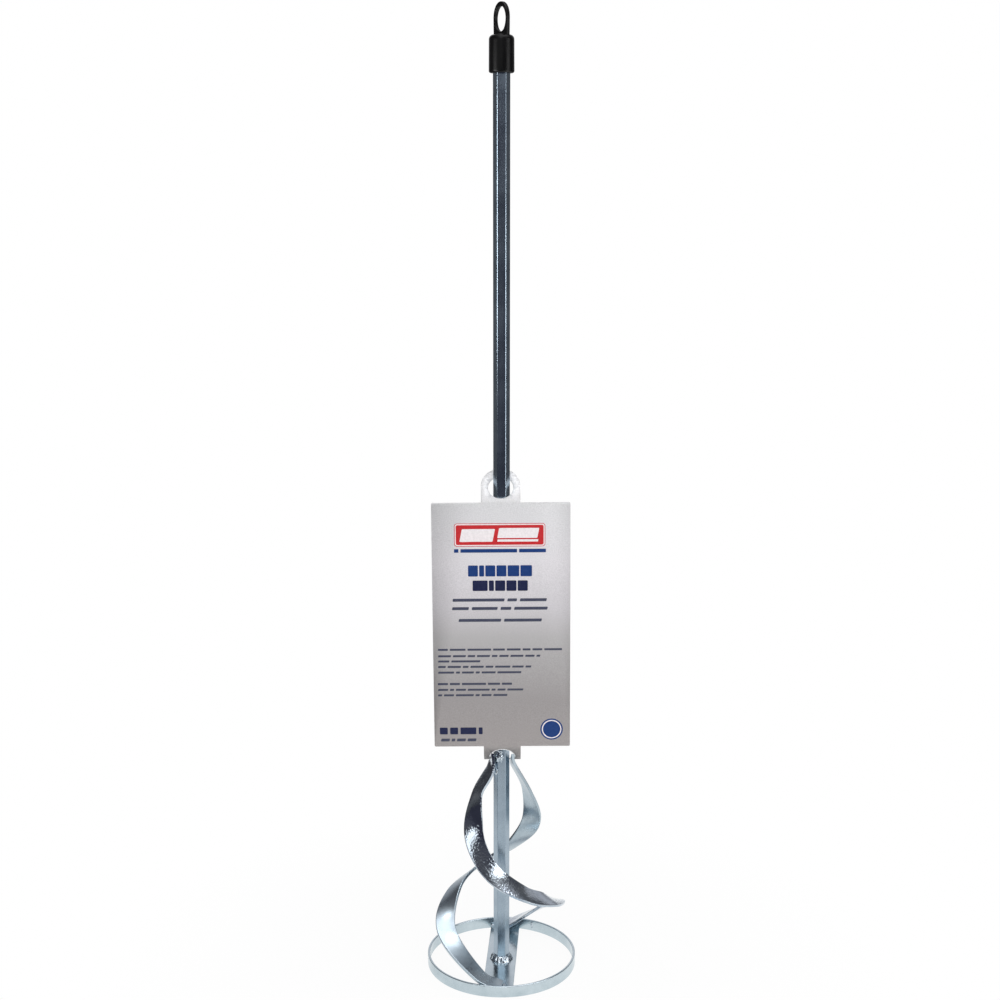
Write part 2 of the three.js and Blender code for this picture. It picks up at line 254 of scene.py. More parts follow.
def plated_steel(name, dark, pale, rough, grain_depth, grain_scale, streak=None):
    """Zinc-plated steel: cool grey metal with a cloudy tone, faint streaks and a fine mottled grain."""
    nodes = Nodes(name)
    cloud = nodes.noise(scale=60, detail=4, roughness=0.6)
    grain = nodes.noise(scale=grain_scale, detail=1)
    streaks = nodes.noise(scale=260, detail=3, roughness=0.6, stretch=streak)
    nodes.set(
        Base_Color=nodes.mix(nodes.span(cloud, NOISE_WIDE), dark, pale),
        Roughness=nodes.span(nodes.maths("ADD", cloud, streaks), TWO_NOISES, rough),
        Metallic=1.0,
    )
    nodes.bump((streaks, 0.25, 0.00008), (grain, 1.0, grain_depth))
    return nodes.material


def weld_metal():
    """Plated weld bead: bright, with fine ripples and dark pits."""
    nodes = Nodes("weld_metal")
    pits = nodes.noise(scale=700, detail=3, roughness=0.6)
    stops = ((0.3, rgb(110, 122, 132)), (0.45, rgb(176, 190, 200)), (0.7, rgb(226, 232, 236)))
    nodes.set(
        Base_Color=nodes.ramp(pits, stops),
        Roughness=nodes.span(pits, NOISE_WIDE, (0.34, 0.12)),
        Metallic=1.0,
    )
    nodes.bump((pits, 1.0, 0.00018))
    return nodes.material


def black_plastic():
    """Satin moulded plastic with a fine spark-eroded grain and faint flow marks."""
    nodes = Nodes("black_plastic")
    grain = nodes.noise(scale=1600, roughness=0.6)
    flow = nodes.noise(scale=90, detail=3, roughness=0.6, stretch=(1, 1, 0.25))
    nodes.set(
        Base_Color=nodes.mix(nodes.span(flow, NOISE_NARROW), grey(5), grey(10)),
        Roughness=nodes.span(flow, NOISE_WIDE, (0.3, 0.4)),
        Specular_IOR_Level=0.23,
    )
    nodes.bump((grain, 0.6, 0.00004))
    return nodes.material


def card_face():
    """The printed side of the card: silver-grey ink with painted shade that darkens it towards the bottom,
    and a fine metallic grain.
    """
    nodes = Nodes("card_face")
    low, high = TONE_SPAN_SHARES
    ends = [(CARD_BOTTOM + CARD_HEIGHT * share) * MM for share in TONE_SPAN_SHARES]
    stops = [((share - low) / (high - low), rgb(*tones)) for share, tones in CARD_TONE_AND_SHADE_SHARES]
    # The tone by height is partly print and partly painted shade, darker towards the bottom and on the
    # lower tab.
    tone = nodes.ramp(nodes.span(nodes.height(), ends), stops)
    grain = nodes.noise(scale=1500, roughness=0.7)
    specks = nodes.mix(nodes.span(grain, NOISE_WIDE), grey(232), grey(255))
    nodes.set(
        Base_Color=nodes.mix(1.0, tone, specks, "MULTIPLY"),
        Roughness=nodes.span(grain, NOISE_WIDE, (0.42, 0.55)),
    )
    nodes.bump((grain, 0.3, 0.00003))
    return nodes.material


def card_plastic(name, tone):
    """The bare milky plastic of the card's back and cut edges."""
    nodes = Nodes(name)
    cloud = nodes.noise(scale=120, detail=3, roughness=0.6)
    nodes.set(
        Base_Color=nodes.mix(cloud, grey(tone - PLASTIC_DARKER), grey(tone + PLASTIC_PALER)),
        Roughness=nodes.span(cloud, NOISE_WIDE, (0.3, 0.42)),
    )
    nodes.bump((nodes.noise(scale=1100, roughness=0.6), 0.3, 0.00003))
    return nodes.material


def ink(name, colour):
    """A screen-printed block, slightly uneven in its cover."""
    nodes = Nodes(name)
    cover = nodes.noise(scale=700, detail=3, roughness=0.6)
    pale = tuple(min(1.0, tone * INK_PALER + INK_LIFT) for tone in colour[:3]) + (1.0,)
    nodes.set(
        Base_Color=nodes.mix(nodes.span(cover, NOISE_NARROW), colour, pale),
        Roughness=nodes.span(cover, NOISE_WIDE, (0.34, 0.46)),
        Specular_IOR_Level=0.3,
    )
    nodes.bump((cover, 0.2, 0.00002))
    return nodes.material


# One plated steel in four colours, each set to how bright its part looks under this light: the frame's
# paler colour is a painted highlight, the shaft's darker one painted shade, and the two ribbons' colours
# are set the same way.
SHAFT_STEEL = plated_steel(
    "shaft_steel", rgb(145, 160, 173), rgb(168, 184, 196),
    rough=(0.21, 0.31), grain_depth=0.00001, grain_scale=700, streak=(1, 1, 0.02),
)
FRAME_STEEL = plated_steel(
    "frame_steel", rgb(178, 193, 200), rgb(202, 215, 221),
    rough=(0.14, 0.28), grain_depth=0.000012, grain_scale=600, streak=(0.15, 0.15, 3),
)
LEFT_STEEL = plated_steel(
    "left_ribbon_steel", rgb(170, 182, 194), rgb(200, 210, 218),
    rough=(0.05, 0.09), grain_depth=0.00016, grain_scale=900,
)
RIGHT_STEEL = plated_steel(
    "right_ribbon_steel", rgb(166, 181, 190), rgb(186, 200, 208),
    rough=(0.24, 0.34), grain_depth=0.000008, grain_scale=700,
)
WELD = weld_metal()
BLACK = black_plastic()
CARD_FACE = card_face()
CARD_BARE = card_plastic("card_plastic", 240)
CARD_EDGE = card_plastic("card_edge", 226)

# Mesh making

CREASE = 35 * DEGREE
SHAFT_CREASE = 40 * DEGREE
WELD_CREASE = 60 * DEGREE
SHARPEST_STRETCH = 0.3


def piece(name, vertices, faces, materials, body, nodes, smooth=True):
    """A mesh object from millimetre vertices, riding on a body and standing for CAD nodes or none."""
    mesh = bpy.data.meshes.new(name)
    mesh.from_pydata([Vector(v) * MM for v in vertices], [], faces)
    for material in materials:
        mesh.materials.append(material)
    mesh.validate()
    made = bpy.data.objects.new(name, mesh)
    bpy.context.scene.collection.objects.link(made)
    if smooth:
        for polygon in mesh.polygons:
            polygon.use_smooth = True
    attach(made, body)
    if nodes:
        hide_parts(*nodes)
    return made


@contextmanager
def mesh_edit(made):
    """The object's mesh, open for changes that are stored when the block ends."""
    bm = bmesh.new()
    bm.from_mesh(made.data)
    yield bm
    bm.to_mesh(made.data)
    bm.free()


def face_outwards(made):
    with mesh_edit(made) as bm:
        bmesh.ops.recalc_face_normals(bm, faces=bm.faces)


def sharpen(made, angle=CREASE):
    """Smooth shading except across edges sharper than the angle, led by the largest faces."""
    with mesh_edit(made) as bm:
        bmesh.ops.recalc_face_normals(bm, faces=bm.faces)
        for edge in bm.edges:
            if len(edge.link_faces) == 2:
                edge.smooth = edge.calc_face_angle() < angle
    weighted = made.modifiers.new("weighted", "WEIGHTED_NORMAL")
    weighted.keep_sharp = True


def rounded_section(width, thickness, edge, steps=4, across_parts=1):
    """An oblong section with rounded corners, as (across, through) points."""
    points = []
    for corner, (sx, sy) in enumerate(((1, 1), (-1, 1), (-1, -1), (1, -1))):
        for step in range(steps + 1):
            angle = QUARTER * (corner + step / steps)
            points.append((
                sx * (width / 2 - edge) + edge * math.cos(angle),
                sy * (thickness / 2 - edge) + edge * math.sin(angle),
            ))
        if corner in (0, 2):
            for part in range(1, across_parts):
                share = 1 - 2 * part / across_parts
                points.append((sx * (width / 2 - edge) * share, sy * thickness / 2))
    return points


def skin(rings, closed_end=True):
    """Vertices and faces that join rings of equal count, with a face on each end."""
    count = len(rings[0])
    vertices = [v for ring in rings for v in ring]
    faces = []
    for step in range(len(rings) - 1):
        for corner in range(count):
            here = step * count + corner
            beside = step * count + (corner + 1) % count
            faces.append((here, beside, beside + count, here + count))
    if closed_end:
        faces.append(tuple(reversed(range(count))))
        faces.append(tuple(range(len(vertices) - count, len(vertices))))
    return vertices, faces


def closed_skin(rings):
    """Vertices and faces that join rings of equal count, and the last ring to the first."""
    vertices, faces = skin(rings + [rings[0]], closed_end=False)
    total = len(rings) * len(rings[0])
    return vertices[:total], [tuple(i % total for i in face) for face in faces]


def lathe(profile, segments):
    """A closed profile of (radius, height) points turned round Z."""
    rings = []
    for step in range(segments):
        angle = TURN * step / segments
        rings.append([Vector((r * math.cos(angle), r * math.sin(angle), z)) for r, z in profile])
    return closed_skin(rings)


# Card, as a flat sheet that bends. Its tabs bend back from the panel, each from a first to a last angle,
# and the bend sets in over a length of FOLD.

Tab = namedtuple("Tab", "width length corner first_bend last_bend")
TOP_TAB = Tab(25.6, 25.3, 12.8, 42 * DEGREE, 42 * DEGREE)
BOTTOM_TAB = Tab(24.6, 24.0, 3.2, 22 * DEGREE, 76 * DEGREE)
TAB_HOLE = 8.25
TAB_HOLE_BACK = 2.7
FOLD = 2.0
FOLD_STEPS = 40
CARD_BOW = 1.6
CARD_CORNER = 0.8
CARD_CORNER_STEPS = 4
TAB_CORNER_STEPS = 6
TAB_END_STEPS = 40
TAB_HOLE_STEPS = 56
PANEL_CUT = 6.0
TAB_CUT = 3.0
TAB_CUTS = 8
FOLD_CUT = 0.25
FOLD_CUTS_INSIDE = 6
FOLD_CUTS_OUTSIDE = 8
MERGE_DISTANCE = 0.001
TANGENT_STEP = 0.1


def card_place(u, v):
    """The point of the bent card at u across and v up its flat sheet, from its middle line and bottom."""
    if v > CARD_HEIGHT:
        y, z = fold_back(v - CARD_HEIGHT, TOP_TAB)
        z = CARD_HEIGHT + z
    elif v < 0:
        y, z = fold_back(-v, BOTTOM_TAB)
        z = -z
    else:
        y = 0.0
        z = v
    share = min(1.0, max(0.0, v / CARD_HEIGHT))
    bow = CARD_BOW * math.sin(math.pi * share)
    middle = CARD_HEIGHT / 2
    x = u * math.cos(CARD_LEAN) - (z - middle) * math.sin(CARD_LEAN)
    z = middle + (z - middle) * math.cos(CARD_LEAN) + u * math.sin(CARD_LEAN)
    return Vector((x, y - CARD_FORWARD - bow, z + CARD_BOTTOM))


def fold_back(length, tab):
    """How far behind and away from the panel's edge a place on a tab lies, at a length along the tab."""
    back = 0.0
    away = 0.0
    for step in range(FOLD_STEPS):
        place = length * (step + 0.5) / FOLD_STEPS
        bend = tab.first_bend + (tab.last_bend - tab.first_bend) * place / tab.length
        bend *= min(1.0, place / FOLD)
        back += math.sin(bend) * length / FOLD_STEPS
        away += math.cos(bend) * length / FOLD_STEPS
    return back, away


def card_front(u, v):
    """The direction that the card's printed face looks in at a place of its flat sheet."""
    along = card_place(u, v + TANGENT_STEP) - card_place(u, v - TANGENT_STEP)
    return Vector((1, 0, 0)).cross(along).normalized()


def arc(cx, cy, radius, start, end, steps):
    """Points of an arc, with its ends given in quarter turns."""
    points = []
    for step in range(steps + 1):
        angle = QUARTER * (start + (end - start) * step / steps)
        points.append((cx + radius * math.cos(angle), cy + radius * math.sin(angle)))
    return points


def card_outline():
    """The flat card's outline, anticlockwise from its right lower corner."""
    side = CARD_WIDTH / 2 - CARD_CORNER
    low = CARD_CORNER
    high = CARD_HEIGHT - CARD_CORNER
    tab_side = BOTTOM_TAB.width / 2 - BOTTOM_TAB.corner
    tab_low = BOTTOM_TAB.corner - BOTTOM_TAB.length
    round_end = CARD_HEIGHT + TOP_TAB.length - TOP_TAB.corner
    return [
        *arc(side, low, CARD_CORNER, -1, 0, CARD_CORNER_STEPS),
        *arc(side, high, CARD_CORNER, 0, 1, CARD_CORNER_STEPS),
        (TOP_TAB.width / 2, CARD_HEIGHT),
        *arc(0, round_end, TOP_TAB.corner, 0, 2, TAB_END_STEPS),
        (-TOP_TAB.width / 2, CARD_HEIGHT),
        *arc(-side, high, CARD_CORNER, 1, 2, CARD_CORNER_STEPS),
        *arc(-side, low, CARD_CORNER, 2, 3, CARD_CORNER_STEPS),
        (-BOTTOM_TAB.width / 2, 0),
        *arc(-tab_side, tab_low, BOTTOM_TAB.corner, 2, 3, TAB_CORNER_STEPS),
        *arc(tab_side, tab_low, BOTTOM_TAB.corner, 3, 4, TAB_CORNER_STEPS),
        (BOTTOM_TAB.width / 2, 0),
    ]


def card_holes():
    """The outlines of the holes punched in the two tabs."""
    back = TAB_HOLE_BACK + TAB_HOLE
    middles = (CARD_HEIGHT + back, -back)
    return [arc(0, middle, TAB_HOLE, 0, 4, TAB_HOLE_STEPS)[:-1] for middle in middles]


def bend_levels():
    """The levels at which the flat sheet is cut into bands, closest where the tabs fold."""
    levels = [step * PANEL_CUT for step in range(1, int(CARD_HEIGHT / PANEL_CUT) + 1)]
    fold_steps = range(-FOLD_CUTS_INSIDE, FOLD_CUTS_OUTSIDE + 1)
    for end, direction in ((CARD_HEIGHT, 1), (0.0, -1)):
        levels += [end + direction * FOLD_CUT * step for step in fold_steps]
        levels += [end + direction * TAB_CUT * step for step in range(1, TAB_CUTS + 1)]
    return levels


def flat_sheet():
    """The flat card's places and faces, cut into bands so that it can bend."""
    bm = bmesh.new()
    edges = []
    for outline in [card_outline()] + card_holes():
        ring = [bm.verts.new((u, v, 0)) for u, v in outline]
        edges += [bm.edges.new((ring[i - 1], ring[i])) for i in range(len(ring))]
    bmesh.ops.triangle_fill(bm, use_beauty=True, use_dissolve=False, edges=edges)
    for level in bend_levels():
        everything = bm.verts[:] + bm.edges[:] + bm.faces[:]
        bmesh.ops.bisect_plane(bm, geom=everything, plane_co=(0, level, 0), plane_no=(0, 1, 0))
    bmesh.ops.remove_doubles(bm, verts=bm.verts, dist=MERGE_DISTANCE)
    bmesh.ops.recalc_face_normals(bm, faces=bm.faces)
    bm.verts.index_update()
    places = [(v.co.x, v.co.y) for v in bm.verts]
    faces = [tuple(v.index for v in face.verts) for face in bm.faces]
    bm.free()
    return places, faces


def card():
    places, faces = flat_sheet()
    vertices = [card_place(u, v) for u, v in places]
    made = piece(
        "card_sheet", vertices, faces, [CARD_FACE, CARD_BARE, CARD_EDGE], "card", ["card"],
    )
    with mesh_edit(made) as bm:
        bmesh.ops.recalc_face_normals(bm, faces=bm.faces)
        largest = max(bm.faces, key=lambda face: face.calc_area())
        if largest.normal.y > 0:
            bmesh.ops.reverse_faces(bm, faces=bm.faces)
    thick = made.modifiers.new("sheet", "SOLIDIFY")
    thick.thickness = CARD_THICKNESS * MM
    thick.offset = 0.0
    thick.material_offset = 1
    thick.material_offset_rim = 2


# Ribbons

RIBBON_EDGE = 0.45
RIBBON_STEPS = 420
LEFT_EDGE_ROLL = 0.35
ROLL_START_SHARE = 0.3
FOOT_LIFT_SHARE = 0.8


def spline(points, share):
    """Uniform Catmull-Rom through the points, with the ends carried straight on: a place and its slope."""
    last = len(points) - 1
    index = min(int(share * last), last - 1)
    part = share * last - index
    start = points[index]
    end = points[index + 1]
    before = points[index - 1] if index > 0 else start * 2 - end
    after = points[index + 2] if index + 2 <= last else end * 2 - start
    leaving = (end - before) * 0.5
    arriving = (after - start) * 0.5
    square = end * 3 - start * 3 - leaving * 2 - arriving
    cube = start * 2 - end * 2 + leaving + arriving
    value = start + leaving * part + square * part ** 2 + cube * part ** 3
    slope = leaving + square * 2 * part + cube * 3 * part ** 2
    return value, slope


def ribbon(name, node, shares, turn, material, edge_roll=0.0):
    """A strip wound down round the shaft. The edge roll bends one of its long edges by so much."""
    top_reach = SHAFT_CORNER + GAP + RIBBON_THICKNESS / 2
    foot_reach = HOOP_INNER - GAP - RIBBON_WIDTH / 2
    foot_level = BAR_THICKNESS + GAP + RIBBON_THICKNESS * FOOT_LIFT_SHARE
    centres = []
    for turn_share, reach_share, rise_share, _ in shares:
        angle = turn + turn_share * RIBBON_TURN
        reach = top_reach + reach_share * (foot_reach - top_reach)
        height = foot_level + rise_share * RIBBON_RISE
        centres.append(Vector((reach * math.cos(angle), reach * math.sin(angle), height)))
    twists = [Vector((row[3], 0, 0)) for row in shares]
    section = []
    for side, depth in rounded_section(RIBBON_WIDTH, RIBBON_THICKNESS, RIBBON_EDGE, across_parts=10):
        rolled = max(0.0, (side * 2 / RIBBON_WIDTH - ROLL_START_SHARE) / (1 - ROLL_START_SHARE))
        section.append((side, depth + edge_roll * rolled ** 2))
    rings = []
    for step in range(RIBBON_STEPS + 1):
        centre, forward = spline(centres, step / RIBBON_STEPS)
        forward.normalize()
        outward = Vector((centre.x, centre.y, 0)).normalized()
        outward = (outward - forward * outward.dot(forward)).normalized()
        sideways = forward.cross(outward)
        twist = spline(twists, step / RIBBON_STEPS)[0].x * RIBBON_TWIST
        across = outward * math.cos(twist) + sideways * math.sin(twist)
        through = forward.cross(across)
        rings.append([centre + across * side + through * depth for side, depth in section])
    vertices, faces = skin(rings)
    made = piece(name, vertices, faces, [material], "mixer", [node])
    trim_under_tab(made)
    sharpen(made)


def trim_under_tab(made):
    """Cuts a strip's top end off just below the card's lower tab, parallel to the tab's middle."""
    middle = -BOTTOM_TAB.length / 2
    normal = -card_front(0, middle)
    point = card_place(0, middle) - normal * (CARD_THICKNESS / 2 + GAP)
    with mesh_edit(made) as bm:
        cut = bmesh.ops.bisect_plane(
            bm,
            geom=bm.verts[:] + bm.edges[:] + bm.faces[:],
            plane_co=point * MM,
            plane_no=normal,
            clear_outer=True,
        )
        edges = [item for item in cut["geom_cut"] if isinstance(item, bmesh.types.BMEdge)]
        bmesh.ops.contextual_create(bm, geom=edges)


# Hoop, cross bar and shaft

HOOP_EDGE = 0.5
HOOP_SEGMENTS = 288
BAR_EDGE = 0.35
BAR_END_STEPS = 16
SHAFT_EDGE = 0.8
SHAFT_EDGE_STEPS = 6
SHAFT_CHAMFER = 0.8
CHAMFER_SHARE = 0.85


def hoop():
    section = rounded_section(HOOP_THICKNESS, HOOP_HEIGHT, HOOP_EDGE)
    middle = HOOP_INNER + HOOP_THICKNESS / 2
    profile = [(middle + side, HOOP_HEIGHT / 2 + depth) for side, depth in section]
    vertices, faces = lathe(profile, HOOP_SEGMENTS)
    made = piece("hoop_band", vertices, faces, [FRAME_STEEL], "mixer", ["base_hoop"])
    sharpen(made)


def inset(outline, distance):
    """An outline moved inwards by the distance. The outline runs anticlockwise."""
    count = len(outline)
    moved = []
    for i, point in enumerate(outline):
        before = (point - outline[i - 1]).normalized()
        after = (outline[(i + 1) % count] - point).normalized()
        left = Vector((-before.y, before.x)) + Vector((-after.y, after.x))
        left.normalize()
        stretch = max(SHARPEST_STRETCH, left.dot(Vector((-before.y, before.x))))
        moved.append(point + left * distance / stretch)
    return moved


def plate_rings(outline, low, high, edge, steps=3):
    """Rings of a flat plate with rounded lower and upper edges."""
    rings = []
    for end in (0, 1):
        for step in range(steps + 1):
            angle = QUARTER * (step / steps)
            if end == 0:
                drop = edge * (1 - math.sin(angle))
                level = low + edge * (1 - math.cos(angle))
            else:
                drop = edge * (1 - math.cos(angle))
                level = high - edge * (1 - math.sin(angle))
            rings.append([Vector((p.x, p.y, level)) for p in inset(outline, drop)])
    return rings


def cross_bar():
    """The flat bar, whose ends follow the hoop's inside."""
    reach = HOOP_INNER - GAP
    sweep = math.asin(BAR_WIDTH / 2 / reach)
    outline = []
    for middle in (QUARTER, -QUARTER):
        for step in range(BAR_END_STEPS + 1):
            angle = middle + (2 * step / BAR_END_STEPS - 1) * sweep
            outline.append(Vector((reach * math.cos(angle), reach * math.sin(angle))))
    turned = [Matrix.Rotation(-BAR_TURN, 2) @ p for p in outline]
    vertices, faces = skin(plate_rings(turned, 0, BAR_THICKNESS, BAR_EDGE))
    made = piece("bar_plate", vertices, faces, [FRAME_STEEL], "mixer", ["cross_bar"])
    sharpen(made)


def shaft():
    """The hexagonal bar, with its six edges rounded and its top end chamfered."""
    corners = []
    reach = SHAFT_CORNER - SHAFT_EDGE / math.cos(math.pi / 6)
    for side in range(6):
        middle = side * TURN / 6
        centre = Vector((reach * math.cos(middle), reach * math.sin(middle)))
        for step in range(SHAFT_EDGE_STEPS + 1):
            angle = middle + (step / SHAFT_EDGE_STEPS - 0.5) * TURN / 6
            corners.append(centre + SHAFT_EDGE * Vector((math.cos(angle), math.sin(angle))))
    rings = []
    levels = (BAR_THICKNESS, SHAFT_TOP - SHAFT_CHAMFER, SHAFT_TOP)
    for level, share in zip(levels, (1.0, 1.0, CHAMFER_SHARE)):
        rings.append([Vector((p.x * share, p.y * share, level)) for p in corners])
    vertices, faces = skin(rings)
    made = piece("shaft_bar", vertices, faces, [SHAFT_STEEL], "mixer", ["shaft"])
    sharpen(made, SHAFT_CREASE)


# Welds

BEAD_ROWS = 40
BEAD_COLUMNS = 48
BEAD_ROUGHNESS = 2.3
BEAD_WAVES = 9
WAVE_SHARE = 0.25
FILLET_SEGMENTS = 120
FILLET_ROWS = 14
FILLET_RADIUS = 8.0
FILLET_REACH = 2.9
FILLET_HEIGHT = 3.7
FILLET_SINK = 0.05
FILLET_SWELL_OUT = 0.55
FILLET_SWELL_UP = 0.3
FILLET_RIPPLES = 13
FILLET_LOBES = 3
FILLET_WANDER = 2
FILLET_ROUGH_SHARE = 0.7
FILLET_ROUGH_RISE = 2
FILLET_SWELL_START = 0.08
FILLET_SWELL_RISE = 1.15
FILLET_CURVE_IN = 0.9
FILLET_CURVE_UP = 1.6
SEAM_BEARING = 63.5 * DEGREE
SEAM_LEVEL = 4.6
BAR_BEAD_SIZE = (4.4, 2.6, 2.6)
FOOT_BEAD_SIZE = (2.9, 12.8, 3.6)

# Each bead: its name, node, middle, size, the seed of its shape and the share of its size that ripples
BEADS = (
    ("left_top_bead", "left_ribbon_top_weld", (-1.3, -4.9, 151.5), (5.6, 4.2, 9.0), 1.7, 0.2),
    ("left_side_bead", "left_ribbon_side_weld", (-3.3, -4.9, 140.5), (2.6, 2.6, 4.6), 5.1, 0.12),
    ("right_top_bead", "right_ribbon_top_weld", (1.6, 4.9, 141.5), (5.6, 4.2, 8.4), 8.3, 0.2),
    ("left_foot_bead", "left_ribbon_foot_weld", (-1.5, 42.4, 2.0), FOOT_BEAD_SIZE, 3.3, 0.12),
    ("right_foot_bead", "right_ribbon_foot_weld", (1.5, -42.4, 2.0), FOOT_BEAD_SIZE, 6.9, 0.12),
    ("front_bar_bead", "front_bar_weld", (5.5, -47.6, 2.6), BAR_BEAD_SIZE, 2.2, 0.12),
    ("back_bar_bead", "back_bar_weld", (-5.5, 47.6, 2.6), BAR_BEAD_SIZE, 4.4, 0.12),
    (
        "hoop_seam_bead",
        "hoop_seam_weld",
        (HOOP_INNER * math.cos(SEAM_BEARING), HOOP_INNER * math.sin(SEAM_BEARING), SEAM_LEVEL),
        (1.6, 1.2, 5.4),
        7.7,
        0.12,
    ),
)


def bead(name, node, centre, size, seed, ripple_share):
    """A rounded bead of weld metal with uneven ripples."""
    rings = []
    for row in range(1, BEAD_ROWS):
        polar = math.pi * row / BEAD_ROWS
        ring = []
        for column in range(BEAD_COLUMNS):
            angle = TURN * column / BEAD_COLUMNS
            unit = Vector((
                math.sin(polar) * math.cos(angle),
                math.sin(polar) * math.sin(angle),
                math.cos(polar),
            ))
            rough = noise.noise(unit * BEAD_ROUGHNESS + Vector((seed, 0, 0)))
            wave = math.sin(unit.z * BEAD_WAVES + seed) * WAVE_SHARE
            swell = 1 + ripple_share * (rough + wave)
            ring.append(Vector(centre) + Vector([unit[i] * size[i] / 2 * swell for i in range(3)]))
        rings.append(ring)
    vertices, faces = skin(rings)
    made = piece(name, vertices, faces, [WELD], "mixer", [node])
    sharpen(made, WELD_CREASE)


def foot_weld():
    """The rippled fillet round the shaft's foot, from its wide lower edge up to the shaft."""
    rings = []
    for row in range(FILLET_ROWS + 1):
        share = row / FILLET_ROWS
        ring = []
        for segment in range(FILLET_SEGMENTS):
            angle = TURN * segment / FILLET_SEGMENTS
            wander = FILLET_WANDER * math.sin(angle * FILLET_LOBES)
            ripple = math.sin(angle * FILLET_RIPPLES + wander) * WAVE_SHARE
            place = Vector((
                math.cos(angle) * FILLET_LOBES,
                math.sin(angle) * FILLET_LOBES,
                share * FILLET_ROUGH_RISE,
            ))
            rough = noise.noise(place) * FILLET_ROUGH_SHARE
            fade = math.sin(math.pi * min(1, share * FILLET_SWELL_RISE + FILLET_SWELL_START))
            swell = (ripple + rough) * fade
            radius = FILLET_RADIUS - FILLET_REACH * share ** FILLET_CURVE_IN + swell * FILLET_SWELL_OUT
            rise = FILLET_HEIGHT * (1 - (1 - share) ** FILLET_CURVE_UP) + swell * FILLET_SWELL_UP
            height = BAR_THICKNESS - FILLET_SINK + rise
            ring.append(Vector((radius * math.cos(angle), radius * math.sin(angle), height)))
        rings.append(ring)
    vertices, faces = skin(rings)
    made = piece("foot_fillet", vertices, faces, [WELD], "mixer", ["shaft_foot_weld"])
    sharpen(made, WELD_CREASE)


# Hang cap

CAP_RADIUS = 7.95
CAP_DRAFT = 0.1
CAP_LOWER_EDGE = 1.3
CAP_SHOULDER_WIDTH = 3.0
CAP_SHOULDER_HEIGHT = 2.8
CAP_SEGMENTS = 96
CAP_EDGE_STEPS = 8
CAP_SHOULDER_STEPS = 12
SOCKET_RADIUS = 5.2
AXIS_RADIUS = 0.01
SKIN_VOXEL = 0.22
LOOP_TURN = -54 * DEGREE
LOOP_HALF_WIDTH = 7.0
LOOP_STRAIGHT = 10.2
LOOP_HEIGHT = 19.5
LOOP_ROOT = 3.0
LOOP_THICKNESS = 2.75
LOOP_STEPS = 72
EYE_MIDDLE = 9.3
EYE_HALF_WIDTH = 5.6
EYE_HALF_HEIGHT = 7.5
NEARLY_LEVEL = 1e-6

# The loop's section: shares of the way from its eye to its rim, and of half its thickness
LOOP_SECTION_SHARES = (
    (0, -0.7),
    (0.12, -1),
    (0.88, -1),
    (1, -0.7),
    (1, -0.1),
    (1.03, 0),
    (1, 0.1),
    (1, 0.7),
    (0.88, 1),
    (0.12, 1),
    (0, 0.7),
)


def cap():
    """The moulded cap: a round body blended into an upright loop, remeshed as one skin."""
    vertices, faces = lathe(cap_profile(), CAP_SEGMENTS)
    loop_vertices, loop_faces = cap_loop()
    offset = len(vertices)
    vertices = vertices + loop_vertices
    faces = faces + [tuple(i + offset for i in face) for face in loop_faces]
    made = piece("cap_moulding", vertices, faces, [BLACK], "cap", ["hang_cap"])
    face_outwards(made)
    remesh = made.modifiers.new("skin", "REMESH")
    remesh.mode = "VOXEL"
    remesh.voxel_size = SKIN_VOXEL * MM
    remesh.use_smooth_shade = True
    relax = made.modifiers.new("relax", "SMOOTH")
    relax.factor = 0.5
    relax.iterations = 4


def cap_profile():
    """The cap's body as (radius, height) points: its bottom, side and rounded top, then its socket."""
    profile = [(SOCKET_RADIUS, CAP_BOTTOM), (CAP_RADIUS - CAP_LOWER_EDGE, CAP_BOTTOM)]
    for step in range(1, CAP_EDGE_STEPS + 1):
        angle = QUARTER * step / CAP_EDGE_STEPS
        profile.append((
            CAP_RADIUS - CAP_LOWER_EDGE * (1 - math.sin(angle)),
            CAP_BOTTOM + CAP_LOWER_EDGE * (1 - math.cos(angle)),
        ))
    for step in range(CAP_SHOULDER_STEPS + 1):
        angle = QUARTER * step / CAP_SHOULDER_STEPS
        profile.append((
            CAP_RADIUS - CAP_DRAFT - CAP_SHOULDER_WIDTH * (1 - math.cos(angle)),
            CAP_TOP - CAP_SHOULDER_HEIGHT * (1 - math.sin(angle)),
        ))
    socket_top = SHAFT_TOP + GAP
    return profile + [(AXIS_RADIUS, CAP_TOP), (AXIS_RADIUS, socket_top), (SOCKET_RADIUS, socket_top)]


def cap_loop():
    """The loop plate: an upright ring with a rounded top, turned about the vertical."""
    sections = []
    for step in range(LOOP_STEPS):
        angle = TURN * step / LOOP_STEPS
        x = math.cos(angle)
        y = math.sin(angle)
        inner = Vector((EYE_HALF_WIDTH * x, EYE_MIDDLE + EYE_HALF_HEIGHT * y))
        outer = loop_edge(x, y)
        section = []
        for share, level in LOOP_SECTION_SHARES:
            point = inner + (outer - inner) * share
            through = level * LOOP_THICKNESS / 2
            section.append(Vector((
                point.x * math.cos(LOOP_TURN) - through * math.sin(LOOP_TURN),
                point.x * math.sin(LOOP_TURN) + through * math.cos(LOOP_TURN),
                CAP_TOP + point.y,
            )))
        sections.append(section)
    return closed_skin(sections)


